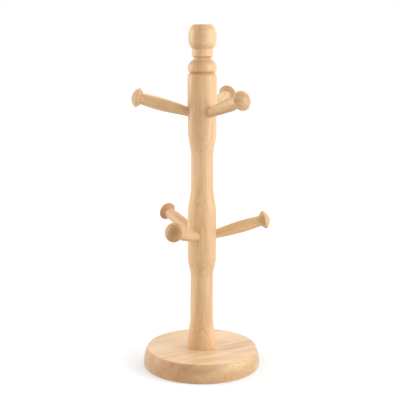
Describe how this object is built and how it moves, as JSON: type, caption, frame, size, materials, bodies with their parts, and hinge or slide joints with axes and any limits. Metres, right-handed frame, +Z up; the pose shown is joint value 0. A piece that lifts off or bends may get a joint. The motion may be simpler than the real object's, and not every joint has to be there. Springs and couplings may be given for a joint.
{
  "type": "mug tree",
  "caption": "Free-standing turned beech mug tree: bulged disc base, profiled post with bead and ball finial, and staggered tiers of upswept pegs with button ends for hanging mugs.",
  "frame": {"origin": "centre of the base's underside, on the surface it stands on", "axes": "+Z up along the post's axis, +X along the first lower peg as seen from above, +Y completes the right-handed frame"},
  "size_m": [0.163, 0.1448, 0.4042],
  "materials": {
    "beech": "bare beech, sanded smooth to a low satin sheen, with fine pores and ray flecks",
    "zinc_steel": "bright zinc-plated steel"
  },
  "bodies": {
    "root": {"base": "beech", "post": "beech", "post_screw": "zinc_steel", "peg_lower_1": "beech", "peg_lower_2": "beech", "peg_lower_3": "beech", "peg_upper_1": "beech", "peg_upper_2": "beech", "peg_upper_3": "beech"}
  },
  "joints": []
}
